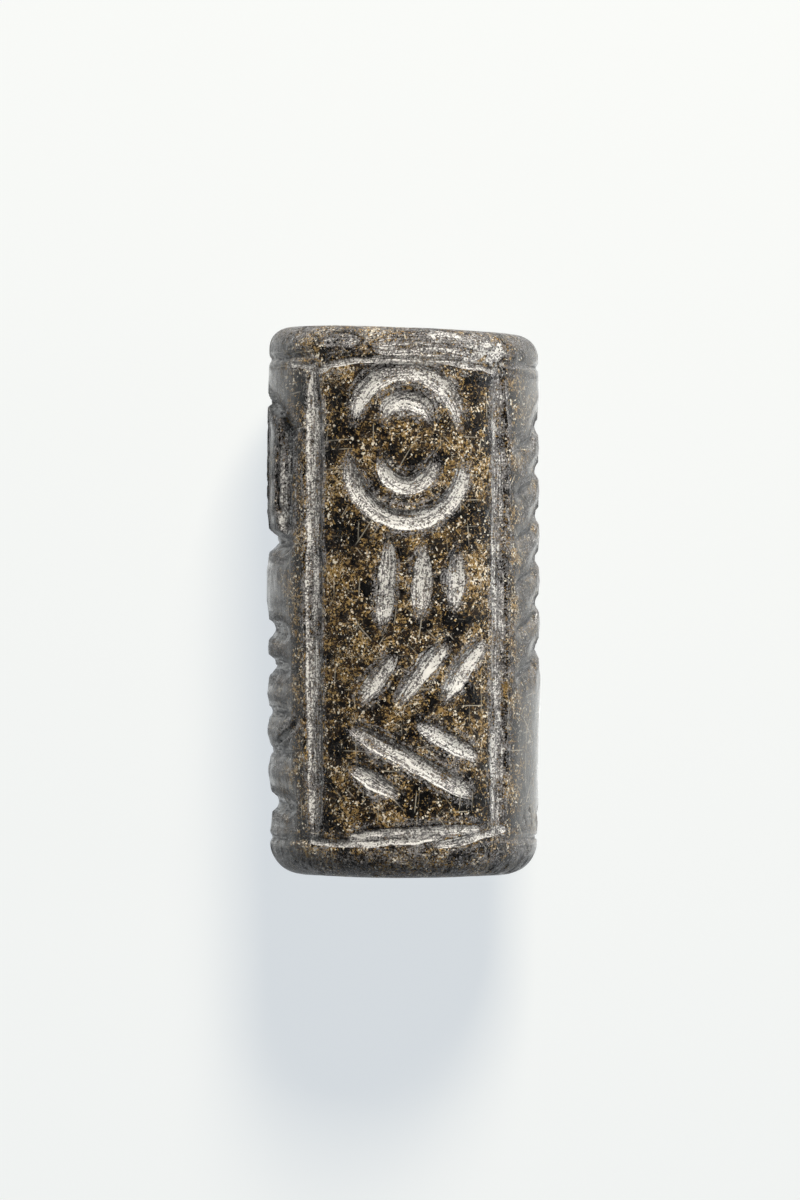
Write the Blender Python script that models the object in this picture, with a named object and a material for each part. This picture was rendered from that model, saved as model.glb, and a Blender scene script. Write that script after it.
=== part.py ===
"""A carved stone cylinder seal lying on its side. Blender 4.5, metres, +Z up.

The drum's axis runs along Y. The framed column of marks faces up, and the drum
rests on a small flat spot at z = 0, with the origin under its middle. A place on
the curved surface is given unrolled: `arc` is the length round the drum from
straight up towards +X, and `along` is the length along the axis from the middle.
"""
import math

import bmesh
import bpy
from mathutils import Vector

MM = 0.001

# The drum
LENGTH = 27.35 * MM
DIAMETER = 13.8 * MM
UPPER_BAND_INSET = 0.14 * MM
LOWER_BAND_INSET = 0.20 * MM
UPPER_RIM_RADIUS = 1.15 * MM
LOWER_RIM_RADIUS = 1.60 * MM
UPPER_END_TILT = 2.0
FLAT_SPOT_WIDTH = 3.0 * MM
ROUND_SIDES = 72
RIM_STEPS = 3

# The string hole, bored through from end to end and worn wider at its mouths
BORE_DIAMETER = 3.6 * MM
MOUTH_WEAR = 0.35 * MM

# The border lines that run round the drum near its ends
UPPER_BAND_WIDTH = 0.30 * MM
LOWER_BAND_WIDTH = 0.10 * MM
BORDER_WIDTH = 0.40 * MM
BORDER_DEPTH = 0.12 * MM

# The framed column that holds the marks
PANEL_WIDTH = 10.2 * MM
PANEL_OFFSET = 0.19 * MM
FRAME_LINE_WIDTH = 1.15 * MM
FRAME_LINE_DEPTH = 0.28 * MM
MARK_WIDTH = 0.88 * MM
MARK_DEPTH = 0.24 * MM
UPRIGHT_LENGTHS = (4.3 * MM, 3.6 * MM, 3.1 * MM)
RISING_LENGTHS = (3.1 * MM, 3.9 * MM, 3.8 * MM)
FALLING_LENGTHS = (3.0 * MM, 7.3 * MM, 3.7 * MM)

# The cut picture on the rest of the drum
FOLD_WIDTH = 1.40 * MM
FOLD_DEPTH = 0.50 * MM
TIER_WIDTH = 1.10 * MM
TIER_DEPTH = 0.50 * MM
FINE_WIDTH = 0.60 * MM
FINE_DEPTH = 0.28 * MM
BELT_DEPTH = 0.62 * MM
HEAD_WIDTH = 2.2 * MM
HEAD_DEPTH = 0.50 * MM
FIELD_MARGIN = 0.8 * MM

# The worn chip on the rim of the upper end
CHIP_TURN = 42.0
CHIP_WIDTH = 2.5 * MM
CHIP_DEPTH = 0.20 * MM

# The gouge that made every stroke: its cross-section as shares of the cut's width
# and depth, and how far a cutter stands out of the stone
GOUGE_SECTION = ((-0.5, 0.0), (-0.31, -0.8), (0.0, -1.0), (0.31, -0.8), (0.5, 0.0))
CUTTER_RISE = 0.30 * MM
CUTTER_TOP_WIDTH = 1.24
STROKE_RUN_OUT = 0.7
STROKE_END_WIDTH = 0.22
STROKE_END_RISE = 0.02 * MM
LONGEST_TURN = math.radians(11.0)

RADIUS = DIAMETER / 2
HALF_LENGTH = LENGTH / 2
AXIS_HEIGHT = math.sqrt(RADIUS**2 - (FLAT_SPOT_WIDTH / 2) ** 2)
UPPER_FACE_RADIUS = RADIUS - UPPER_BAND_INSET - UPPER_RIM_RADIUS
LOWER_FACE_RADIUS = RADIUS - LOWER_BAND_INSET - LOWER_RIM_RADIUS
UPPER_BORDER = HALF_LENGTH - UPPER_RIM_RADIUS - UPPER_BAND_WIDTH - BORDER_WIDTH / 2
LOWER_BORDER = -HALF_LENGTH + LOWER_RIM_RADIUS + LOWER_BAND_WIDTH + BORDER_WIDTH / 2
FIELD_TOP = UPPER_BORDER - BORDER_WIDTH / 2
FIELD_BOTTOM = LOWER_BORDER + BORDER_WIDTH / 2
FIELD_HEIGHT = FIELD_TOP - FIELD_BOTTOM

STONE_COLOUR = (0.075, 0.060, 0.043, 1.0)


def clear_scene():
    for thing in list(bpy.data.objects):
        bpy.data.objects.remove(thing)


def stone_material():
    stone = bpy.data.materials.new("stone")
    stone.use_nodes = True
    shader = stone.node_tree.nodes["Principled BSDF"]
    shader.inputs["Base Color"].default_value = STONE_COLOUR
    shader.inputs["Roughness"].default_value = 0.45
    shader.inputs["Metallic"].default_value = 0.0
    return stone


def drum_radius(along):
    """Radius of the uncut drum, which narrows from its middle to the border lines."""
    if along >= 0:
        return RADIUS - UPPER_BAND_INSET * min(1.0, along / UPPER_BORDER) ** 4
    return RADIUS - LOWER_BAND_INSET * min(1.0, along / LOWER_BORDER) ** 2


def out_of_square(x, along):
    """The upper end was cut askew, and what lies above the middle leans with it."""
    share = min(1.0, max(0.0, along / UPPER_BORDER))
    lean = math.tan(math.radians(UPPER_END_TILT))
    return along - (x + UPPER_FACE_RADIUS) * lean * share


def on_drum(arc, along, lift=0.0):
    """A point of the unrolled surface, lifted off it along the drum's radius."""
    reach = drum_radius(along) + lift
    turn = arc / RADIUS
    x = reach * math.sin(turn)
    return Vector((x, out_of_square(x, along), AXIS_HEIGHT + reach * math.cos(turn)))


def rim_points(end, face_radius, rim_radius):
    """(along, radius) from the edge of an end face round to the side of the drum."""
    side = 1 if end > 0 else -1
    points = []
    for step in range(RIM_STEPS + 1):
        turn = math.radians(90) * step / RIM_STEPS
        along = end - side * rim_radius * (1 - math.cos(turn))
        points.append((along, face_radius + rim_radius * math.sin(turn)))
    return points


def border_points(border):
    """(along, radius) across a border line, which is a shallow V, from -Y to +Y."""
    near, far = border - BORDER_WIDTH / 2, border + BORDER_WIDTH / 2
    return [
        (near, drum_radius(near)),
        (border, drum_radius(border) - BORDER_DEPTH),
        (far, drum_radius(far)),
    ]


def drum_profile():
    """The closed outline of half the drum, cut through its axis, as (along, radius)."""
    bore = BORE_DIAMETER / 2
    upper_rim = rim_points(HALF_LENGTH, UPPER_FACE_RADIUS, UPPER_RIM_RADIUS)
    lower_rim = rim_points(-HALF_LENGTH, LOWER_FACE_RADIUS, LOWER_RIM_RADIUS)
    waist = [(share * UPPER_BORDER, drum_radius(share * UPPER_BORDER)) for share in (0.0, 0.75)]
    return [
        (-HALF_LENGTH + MOUTH_WEAR, bore),
        (-HALF_LENGTH, bore + MOUTH_WEAR),
        *lower_rim,
        *border_points(LOWER_BORDER),
        *waist,
        *border_points(UPPER_BORDER),
        *reversed(upper_rim),
        (HALF_LENGTH, bore + MOUTH_WEAR),
        (HALF_LENGTH - MOUTH_WEAR, bore),
    ]


def new_object(name, mesh_builder, collection):
    """Turns a bmesh into an object whose faces all point out."""
    bmesh.ops.recalc_face_normals(mesh_builder, faces=mesh_builder.faces[:])
    mesh = bpy.data.meshes.new(name)
    mesh_builder.to_mesh(mesh)
    mesh_builder.free()
    made = bpy.data.objects.new(name, mesh)
    collection.objects.link(made)
    return made


def turned_drum(stone):
    """The plain bored drum, spun from its outline about the axis."""
    drum = bmesh.new()
    outline = [drum.verts.new((0.0, along, reach)) for along, reach in drum_profile()]
    for here, after in zip(outline, outline[1:] + outline[:1]):
        drum.edges.new((here, after))
    bmesh.ops.spin(
        drum,
        geom=drum.verts[:] + drum.edges[:],
        axis=(0.0, 1.0, 0.0),
        cent=(0.0, 0.0, 0.0),
        angle=math.tau,
        steps=ROUND_SIDES,
        use_merge=True,
    )
    for vertex in drum.verts:
        x, along, z = vertex.co
        vertex.co = (x, out_of_square(x, along), AXIS_HEIGHT + z)
    made = new_object("cylinder_seal", drum, bpy.context.scene.collection)
    made.data.materials.append(stone)
    return made


def as_cutter(cutter):
    cutter.hide_render = True
    cutter.display_type = "WIRE"
    return cutter


def flat_spot(cutters):
    """Takes a thin slice off the underside, so that the drum doesn't roll."""
    block = bmesh.new()
    bmesh.ops.create_cube(block, size=1.0)
    for vertex in block.verts:
        x, y, z = vertex.co
        vertex.co = (x * DIAMETER, y * LENGTH * 1.2, (z - 0.5) * RADIUS)
    return as_cutter(new_object("cut_flat_spot", block, cutters))


def eased_path(path):
    """The path with points added, so that no stretch turns far round the drum."""
    eased = [path[0]]
    for (arc_a, along_a), (arc_b, along_b) in zip(path, path[1:]):
        steps = max(1, math.ceil(abs(arc_b - arc_a) / RADIUS / LONGEST_TURN))
        for step in range(1, steps + 1):
            share = step / steps
            eased.append(
                (arc_a + (arc_b - arc_a) * share, along_a + (along_b - along_a) * share)
            )
    return eased


def moved_along(start, towards, distance):
    """The point that lies this far from start on the way to the other point."""
    step = Vector(towards) - Vector(start)
    return tuple(Vector(start) + step.normalized() * min(distance, step.length * 0.45))


def stroke(cutters, name, path, width, depth):
    """A gouge cut along a path of (arc, along) points, running out at both ends."""
    run_in = moved_along(path[0], path[1], width * STROKE_RUN_OUT)
    run_out = moved_along(path[-1], path[-2], width * STROKE_RUN_OUT)
    inner = eased_path([run_in, *path[1:-1], run_out])
    places = [path[0], *inner, path[-1]]
    cutter = bmesh.new()
    sections = []
    for index, (arc, along) in enumerate(places):
        at_end = index in (0, len(places) - 1)
        before = Vector(places[max(index - 1, 0)])
        after = Vector(places[min(index + 1, len(places) - 1)])
        forward = (after - before).normalized()
        across = Vector((forward.y, -forward.x))
        wide = width * (STROKE_END_WIDTH if at_end else 1.0)
        ring = []
        for side, down in GOUGE_SECTION:
            lift = STROKE_END_RISE * (1 - down) if at_end else down * depth
            ring.append((across * side * wide, lift))
        for side in (0.5, -0.5):
            ring.append((across * side * CUTTER_TOP_WIDTH * wide, CUTTER_RISE))
        sections.append(
            [cutter.verts.new(on_drum(arc + step.x, along + step.y, lift)) for step, lift in ring]
        )
    for here, after in zip(sections, sections[1:]):
        for k in range(len(here)):
            n = (k + 1) % len(here)
            cutter.faces.new((here[k], here[n], after[n], after[k]))
    cutter.faces.new(sections[0])
    cutter.faces.new(sections[-1])
    bmesh.ops.triangulate(cutter, faces=cutter.faces[:])
    return as_cutter(new_object(name, cutter, cutters))


def drilled_pit(cutters, name, arc, along, width, depth):
    """A shallow round hollow, the bowl that a ball-ended drill leaves."""
    ball_radius = width**2 / (8 * depth) + depth / 2
    bowl = bmesh.new()
    bmesh.ops.create_icosphere(bowl, subdivisions=2, radius=ball_radius)
    centre = on_drum(arc, along, ball_radius - depth)
    bmesh.ops.translate(bowl, verts=bowl.verts[:], vec=centre)
    return as_cutter(new_object(name, bowl, cutters))


def arch(centre, half_width, rise, steps=6):
    """Points of a half ellipse over its centre, or under it where the rise is negative."""
    return [
        (
            centre[0] - half_width * math.cos(math.pi * step / steps),
            centre[1] + rise * math.sin(math.pi * step / steps),
        )
        for step in range(steps + 1)
    ]


def panel_marks(cutters):
    """The frame lines, and rows of shallow strokes in the column between them."""
    half = PANEL_WIDTH / 2
    for side, name in ((-1, "left"), (1, "right")):
        arc = PANEL_OFFSET + side * half
        path = [(arc, FIELD_TOP), (arc, FIELD_BOTTOM)]
        stroke(cutters, f"cut_frame_{name}", path, FRAME_LINE_WIDTH, FRAME_LINE_DEPTH)

    def at(across, up):
        """across runs from -1 to 1 between the frame lines, up from 0 to 1."""
        return (PANEL_OFFSET + across * half, FIELD_BOTTOM + up * FIELD_HEIGHT)

    def bow_pair(name, up, half_width, rise):
        """Two bows, one inside the other."""
        for share, steps, place in ((1.0, 8, "outer"), (0.45, 6, "inner")):
            path = arch(at(0.0, up), half * half_width * share, FIELD_HEIGHT * rise * share, steps)
            stroke(cutters, f"cut_{name}_{place}", path, MARK_WIDTH, MARK_DEPTH)

    def leaning_row(name, first, step, lengths, lean):
        """Parallel strokes side by side. lean is their angle above +X in degrees."""
        turn = math.radians(lean)
        for number, length in enumerate(lengths):
            arc, along = at(first[0] + number * step[0], first[1] + number * step[1])
            reach = (math.cos(turn) * length / 2, math.sin(turn) * length / 2)
            path = [(arc - reach[0], along - reach[1]), (arc + reach[0], along + reach[1])]
            stroke(cutters, f"cut_{name}_{number}", path, MARK_WIDTH, MARK_DEPTH)

    bow_pair("bows_down", 0.872, 0.53, 0.110)
    bow_pair("bows_up", 0.800, 0.58, -0.135)
    leaning_row("upright", (-0.21, 0.532), (0.345, 0.004), UPRIGHT_LENGTHS, 86)
    leaning_row("rising", (-0.30, 0.332), (0.435, 0.010), RISING_LENGTHS, 52)
    leaning_row("falling", (-0.32, 0.116), (0.370, 0.042), FALLING_LENGTHS, -28)


def robed_figure(cutters, name, centre, width, folds, head):
    """A figure in a long tiered robe, turned away from growing arc."""

    def at(across, up):
        """across is in shares of the figure's width, up in shares of the field."""
        return (centre - across * width, FIELD_BOTTOM + up * FIELD_HEIGHT)

    def cut(part, path, wide, deep):
        stroke(cutters, f"cut_{name}_{part}", path, wide, deep)

    def level(part, up, reach, wide, deep):
        cut(part, [at(-reach, up - 0.006), at(reach, up + 0.006)], wide, deep)

    drilled_pit(cutters, f"cut_{name}_head", *at(head, 0.930), HEAD_WIDTH, HEAD_DEPTH)
    cut("arm", [at(0.44, 0.820), at(0.58, 0.740), at(0.72, 0.850)], FINE_WIDTH, TIER_DEPTH)
    shoulders = [at(-0.40, 0.885), at(0.04, 0.925), at(0.36, 0.900)]
    cut("shoulders", shoulders, FINE_WIDTH, TIER_DEPTH)
    for number, across in enumerate(folds):
        path = [at(across, 0.885), at(across, 0.625)]
        cut(f"fold_{number}", path, FOLD_WIDTH, FOLD_DEPTH)
    level("belt", 0.620, 0.52, TIER_WIDTH, BELT_DEPTH)
    for number, up in enumerate((0.432, 0.355)):
        level(f"upper_tier_{number}", up, 0.50, TIER_WIDTH, TIER_DEPTH)
    for number, up in enumerate((0.259, 0.175)):
        level(f"lower_tier_{number}", up, 0.50, FINE_WIDTH, FINE_DEPTH)
    level("hem", 0.064, 0.54, TIER_WIDTH, FOLD_DEPTH)


def tree(cutters, centre, width):
    """A palm with paired fronds that arch out from its trunk."""

    def at(across, up):
        return (centre + across * width / 2, FIELD_BOTTOM + up * FIELD_HEIGHT)

    def frond(side, up):
        reach = (0.08, 0.36, 0.66, 1.0)
        return [at(side * out, up + 0.022 * math.sin(2.2 * out) - 0.060 * out**3) for out in reach]

    trunk = [at(0.0, 0.970), at(0.0, 0.02)]
    stroke(cutters, "cut_tree_trunk", trunk, TIER_WIDTH, TIER_DEPTH)
    for number in range(6):
        up = 0.870 - 0.0975 * number
        for side, hand in ((-1, "left"), (1, "right")):
            name = f"cut_tree_frond_{number}_{hand}"
            stroke(cutters, name, frond(side, up), TIER_WIDTH, TIER_DEPTH)
    for side, hand in ((-1, "left"), (1, "right")):
        path = [at(side * 0.10, 0.060), at(side * 0.60, 0.020)]
        stroke(cutters, f"cut_tree_root_{hand}", path, FINE_WIDTH, FINE_DEPTH)


def altar_and_sky(cutters, centre, width):
    """A stand with crossed legs, under a crescent and a star of crossing strokes."""

    def at(across, up):
        return (centre + across * width / 2, FIELD_BOTTOM + up * FIELD_HEIGHT)

    stand = {
        "top": [at(-0.85, 0.455), at(0.85, 0.455)],
        "tray": [at(-0.60, 0.395), at(0.60, 0.395)],
        "leg_a": [at(-0.65, 0.045), at(0.45, 0.360)],
        "leg_b": [at(0.60, 0.050), at(-0.52, 0.352)],
        "base": [at(-0.80, 0.020), at(0.80, 0.020)],
    }
    for name, path in stand.items():
        stroke(cutters, f"cut_stand_{name}", path, FINE_WIDTH, TIER_DEPTH)
    crescent = arch(at(0.0, 0.660), width * 0.38, FIELD_HEIGHT * -0.070)
    stroke(cutters, "cut_crescent", crescent, TIER_WIDTH, TIER_DEPTH)
    star_arc, star_along = at(0.0, 0.860)
    arm = width * 0.34
    for number in range(3):
        turn = math.radians(60 * number + 10)
        step = (arm * math.cos(turn), arm * math.sin(turn))
        path = [
            (star_arc - step[0], star_along - step[1]),
            (star_arc + step[0], star_along + step[1]),
        ]
        stroke(cutters, f"cut_star_{number}", path, FINE_WIDTH, FINE_DEPTH)


def picture(cutters):
    """The cut scene round the back, kept clear of the frame lines and the flat spot."""
    frame_reach = PANEL_WIDTH / 2 + FRAME_LINE_WIDTH / 2 + FIELD_MARGIN
    flat_reach = math.pi * RADIUS - FLAT_SPOT_WIDTH / 2 - FIELD_MARGIN
    right_from, right_to = frame_reach + PANEL_OFFSET, flat_reach
    left_from, left_to = -frame_reach + PANEL_OFFSET, -flat_reach
    right_width, left_width = right_to - right_from, left_to - left_from

    def right(share):
        return right_from + share * right_width

    def left(share):
        return left_from + share * left_width

    tree(cutters, right(0.42), right_width * 0.56)
    robed_figure(cutters, "worshipper", right(0.87), right_width * 0.24, (-0.30, 0.30), 0.10)
    robed_figure(cutters, "priest", left(0.29), abs(left_width) * 0.53, (-0.41, 0.03, 0.42), 0.50)
    altar_and_sky(cutters, left(0.82), abs(left_width) * 0.32)


def rim_chip(cutters):
    """A shallow scoop where the upper rim has been knocked and worn."""
    arc = math.radians(CHIP_TURN) * RADIUS
    along = HALF_LENGTH - UPPER_RIM_RADIUS
    drilled_pit(cutters, "cut_rim_chip", arc, along, CHIP_WIDTH, CHIP_DEPTH)


def carve(seal, cutters):
    """Takes every cutter away from the drum at once."""
    cut = seal.modifiers.new("carving", "BOOLEAN")
    cut.operation = "DIFFERENCE"
    cut.solver = "EXACT"
    cut.operand_type = "COLLECTION"
    cut.collection = cutters


def main():
    clear_scene()
    cutters = bpy.data.collections.new("cutters")
    bpy.context.scene.collection.children.link(cutters)
    seal = turned_drum(stone_material())
    flat_spot(cutters)
    panel_marks(cutters)
    picture(cutters)
    rim_chip(cutters)
    carve(seal, cutters)
    seal.data.shade_smooth()
    seal.data.set_sharp_from_angle(angle=math.radians(30))


main()
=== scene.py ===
# %% [markdown]
# # A carved cylinder seal in dark stone
#
# A cylinder seal is a stone bead about as long as a finger joint. Its owner rolled it over wet clay, and the
# cuts in its drum left a raised picture there. This one lies on its side: a framed column of marks looks
# up, and a cut scene runs round the rest of the drum.
#
# The solid that this script starts from has the drum, the bore and every large cut, in broad facets. Here
# it gets the surface that a hand-cut stone has: wavering cuts that were scored over and over, chipped lips,
# pale powder in the grooves, mottled stone and the scratches of long wear.

# %% Load the solid
import itertools
import math

import bpy
import numpy as np
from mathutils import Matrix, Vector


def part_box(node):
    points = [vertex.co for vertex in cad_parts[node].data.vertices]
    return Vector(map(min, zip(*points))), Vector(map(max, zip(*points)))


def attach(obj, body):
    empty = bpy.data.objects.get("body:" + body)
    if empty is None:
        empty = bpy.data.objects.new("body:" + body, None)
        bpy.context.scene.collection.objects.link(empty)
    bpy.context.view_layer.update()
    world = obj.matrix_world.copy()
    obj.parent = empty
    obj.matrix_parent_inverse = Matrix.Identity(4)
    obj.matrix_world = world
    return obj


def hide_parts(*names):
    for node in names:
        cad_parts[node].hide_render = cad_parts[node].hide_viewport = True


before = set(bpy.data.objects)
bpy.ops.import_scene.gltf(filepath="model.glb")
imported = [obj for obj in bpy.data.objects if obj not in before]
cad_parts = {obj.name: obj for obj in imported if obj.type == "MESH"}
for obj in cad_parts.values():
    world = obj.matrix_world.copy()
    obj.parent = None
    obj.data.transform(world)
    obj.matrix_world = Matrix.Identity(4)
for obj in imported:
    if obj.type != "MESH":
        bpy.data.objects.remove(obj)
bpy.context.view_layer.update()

# %% [markdown]
# ## Measures of the drum
#
# The drum's length, radius and place come from the solid. The rest are the widths that a stone cutter
# would name: how far the rims are rounded, how wide the plain bands are, and where the border lines run.
# A place on the drum is given unrolled, as on the clay: `arc` is the length round it from the top towards
# +X, and `along` is the length along its axis from the middle.

# %% Measures
MM = 0.001
low, high = (np.array(corner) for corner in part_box("cylinder_seal"))
LENGTH = high[1] - low[1]
RADIUS = -low[0]
AXIS_HEIGHT = high[2] - RADIUS
HALF_LENGTH = LENGTH / 2
UPPER_BAND_INSET, LOWER_BAND_INSET = 0.14 * MM, 0.20 * MM
UPPER_RIM_RADIUS, LOWER_RIM_RADIUS = 1.15 * MM, 1.60 * MM
UPPER_END_TILT = 2.0
BORE_RADIUS = 1.8 * MM
MOUTH_WEAR = 0.35 * MM
FLAT_SPOT_WIDTH = 3.0 * MM
BORDER_WIDTH = 0.40 * MM
UPPER_FACE_RADIUS = RADIUS - UPPER_BAND_INSET - UPPER_RIM_RADIUS
LOWER_FACE_RADIUS = RADIUS - LOWER_BAND_INSET - LOWER_RIM_RADIUS
UPPER_BORDER = HALF_LENGTH - UPPER_RIM_RADIUS - 0.30 * MM - BORDER_WIDTH / 2
LOWER_BORDER = -HALF_LENGTH + LOWER_RIM_RADIUS + 0.10 * MM + BORDER_WIDTH / 2
FIELD_TOP = UPPER_BORDER - BORDER_WIDTH / 2
FIELD_BOTTOM = LOWER_BORDER + BORDER_WIDTH / 2
FIELD_HEIGHT = FIELD_TOP - FIELD_BOTTOM
print("The carved field is", round(FIELD_HEIGHT / MM, 2), "mm high between the border lines")

# %% [markdown]
# ## A net of points over the whole stone
#
# The stone is one closed body with a hole through it, so its surface can be covered by one net: rings that
# run up the side, over an end, down through the bore and back again. Displacing the points of a net is the
# simplest way to carve in code, because every cut is then only a depth at each point. The rings are closest
# where the carving is, and the points of a ring are closer together on the side that shows its marks.

# %% Rings of the net
DRUM, END, BORE = 0, 1, 2
ring_rows = []


def add_ring(kind, along, radius, lean):
    """lean is the angle of the surface's normal, from straight out towards the upper end."""
    ring_rows.append((kind, along, radius, math.sin(lean), math.cos(lean)))


def shares(count, first=0):
    """Even steps from 0 up to, but not including, 1."""
    return [step / count for step in range(first, count)]


def side_radius(along):
    """The drum narrows a little from its middle towards the border lines."""
    if along >= 0:
        return RADIUS - UPPER_BAND_INSET * min(1.0, along / UPPER_BORDER) ** 4
    return RADIUS - LOWER_BAND_INSET * min(1.0, along / LOWER_BORDER) ** 2


def add_corner(kind, along, radius, size, from_lean, to_lean, count):
    """A quarter turn of surface round a corner, about the point (along, radius)."""
    for share in shares(count):
        lean = math.radians(from_lean + (to_lean - from_lean) * share)
        add_ring(kind, along + size * math.sin(lean), radius + size * math.cos(lean), lean)


lower_side = -HALF_LENGTH + LOWER_RIM_RADIUS
upper_side = HALF_LENGTH - UPPER_RIM_RADIUS
mouth_radius = BORE_RADIUS + MOUTH_WEAR
for share in shares(9):
    reach = mouth_radius + (LOWER_FACE_RADIUS - mouth_radius) * share
    add_ring(END, -HALF_LENGTH, reach, math.radians(-90))
add_corner(DRUM, lower_side, LOWER_FACE_RADIUS, LOWER_RIM_RADIUS, -90, 0, 13)
for share in shares(212):
    place = lower_side + (upper_side - lower_side) * share
    add_ring(DRUM, place, side_radius(place), 0.0)
add_corner(DRUM, upper_side, UPPER_FACE_RADIUS, UPPER_RIM_RADIUS, 0, 90, 10)
for share in shares(9):
    reach = UPPER_FACE_RADIUS + (mouth_radius - UPPER_FACE_RADIUS) * share
    add_ring(END, HALF_LENGTH, reach, math.radians(90))
add_corner(BORE, HALF_LENGTH - MOUTH_WEAR, mouth_radius, MOUTH_WEAR, 90, 180, 3)
for share in shares(8):
    place = (HALF_LENGTH - MOUTH_WEAR) * (1 - 2 * share)
    add_ring(BORE, place, BORE_RADIUS, math.radians(180))
add_corner(BORE, -HALF_LENGTH + MOUTH_WEAR, mouth_radius, MOUTH_WEAR, 180, 270, 3)

kinds, ring_along, ring_radius, lean_along, lean_out = np.array(ring_rows).T
steps = np.hypot(np.diff(ring_along), np.diff(ring_radius))
unrolled = np.concatenate([[0.0], np.cumsum(steps)])
unrolled += lower_side - unrolled[np.argmax(ring_along >= lower_side)]
print(len(ring_rows), "rings")

# %% Points round each ring
COLUMN_TURN, LIMB_TURN = math.radians(50), math.radians(105)
COLUMN_POINTS, LIMB_POINTS, BACK_POINTS = 164, 51, 100


def even_turns(start, end, count):
    return np.linspace(start, end, count, endpoint=False)


back = even_turns(LIMB_TURN, math.tau - LIMB_TURN, BACK_POINTS)
turns = np.concatenate([
    back[BACK_POINTS // 2 :] - math.tau,
    even_turns(-LIMB_TURN, -COLUMN_TURN, LIMB_POINTS),
    even_turns(-COLUMN_TURN, COLUMN_TURN, COLUMN_POINTS),
    even_turns(COLUMN_TURN, LIMB_TURN, LIMB_POINTS),
    back[: BACK_POINTS // 2],
])
arcs = turns * RADIUS
net_shape = (len(ring_rows), len(turns))
print("The net has", net_shape[0] * net_shape[1], "points and as many four-sided faces")

# %% [markdown]
# ## Noise that belongs to the stone
#
# Nothing about a hand-cut stone is even. The same smooth noise, read at different sizes, makes the drum
# slightly lumpy, makes the cuts waver and breaks up their lips. It is read in space and not on the flat
# net, so that it runs on over the rims without a seam.

# %% Smooth noise
NOISE_CELLS = 32
WAVERS = ((0.050 * MM, 0.55 * MM, 11), (0.022 * MM, 0.22 * MM, 13))


def smooth_noise(place, cell, seed):
    """Noise from -1 to 1 at points in space, with lumps about as large as a cell."""
    table = np.random.default_rng(seed).uniform(-1, 1, (NOISE_CELLS,) * 3)
    scaled = place / cell
    base = np.floor(scaled).astype(int)
    part = scaled - base
    part = part * part * (3 - 2 * part)
    total = np.zeros(place.shape[:-1])
    for corner in itertools.product((0, 1), repeat=3):
        index = (base + corner) % NOISE_CELLS
        weight = np.prod(np.where(corner, part, 1 - part), axis=-1)
        total += weight * table[index[..., 0], index[..., 1], index[..., 2]]
    return total


net_turn, net_radius = np.meshgrid(turns, ring_radius)
net_along = np.repeat(ring_along[:, None], net_shape[1], axis=1)
smooth_place = np.stack([net_radius * np.sin(net_turn), net_along, net_radius * np.cos(net_turn)], axis=-1)
net_arc, net_up = np.meshgrid(arcs, unrolled)
for waver, cell, seed in WAVERS:
    net_arc = net_arc + waver * smooth_noise(smooth_place, cell, seed)
    net_up = net_up + waver * smooth_noise(smooth_place, cell, seed + 1)
print("The cuts waver by up to", round(sum(waver[0] for waver in WAVERS) / MM, 3), "mm")

# %% [markdown]
# ## The graver
#
# Every line on the seal was made by pushing a graver through the stone many times. One function does this
# for a path on the unrolled drum. It works out how far each point of the net lies from the path, gives the
# cut a bowl-shaped floor with a few long furrows in it, and lets it run out at its ends like a boat's hull.
# It also remembers what the finish will need: where there is powder, and which way the furrows run.

# %% Cut along a path
FURROW_REACH, POWDER_REACH, CUT_REACH = 1.9, 1.5, 1.2
FINE_FURROW = 0.13 * MM
depth = np.zeros(net_shape)
powder = np.zeros(net_shape)
furrow = np.zeros(net_shape + (3,))
nearness = np.full(net_shape, FURROW_REACH)
cut_count = 0


def nearest_on_path(path, arc, up):
    """Distance along the path, and signed distance from it, for points of the net."""
    best = np.full(arc.shape, np.inf)
    run = np.zeros(arc.shape)
    side = np.zeros(arc.shape)
    walked = 0.0
    for (arc_a, up_a), (arc_b, up_b) in zip(path, path[1:]):
        length = math.hypot(arc_b - arc_a, up_b - up_a)
        way_arc, way_up = (arc_b - arc_a) / length, (up_b - up_a) / length
        ahead = (arc - arc_a) * way_arc + (up - up_a) * way_up
        ahead = np.clip(ahead, 0.0, length)
        off_arc, off_up = arc - arc_a - ahead * way_arc, up - up_a - ahead * way_up
        distance = np.hypot(off_arc, off_up)
        nearer = distance < best
        best = np.where(nearer, distance, best)
        run = np.where(nearer, walked + ahead, run)
        side = np.where(nearer, distance * np.sign(off_arc * way_up - off_up * way_arc), side)
        walked += length
    return run, side, walked


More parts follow.
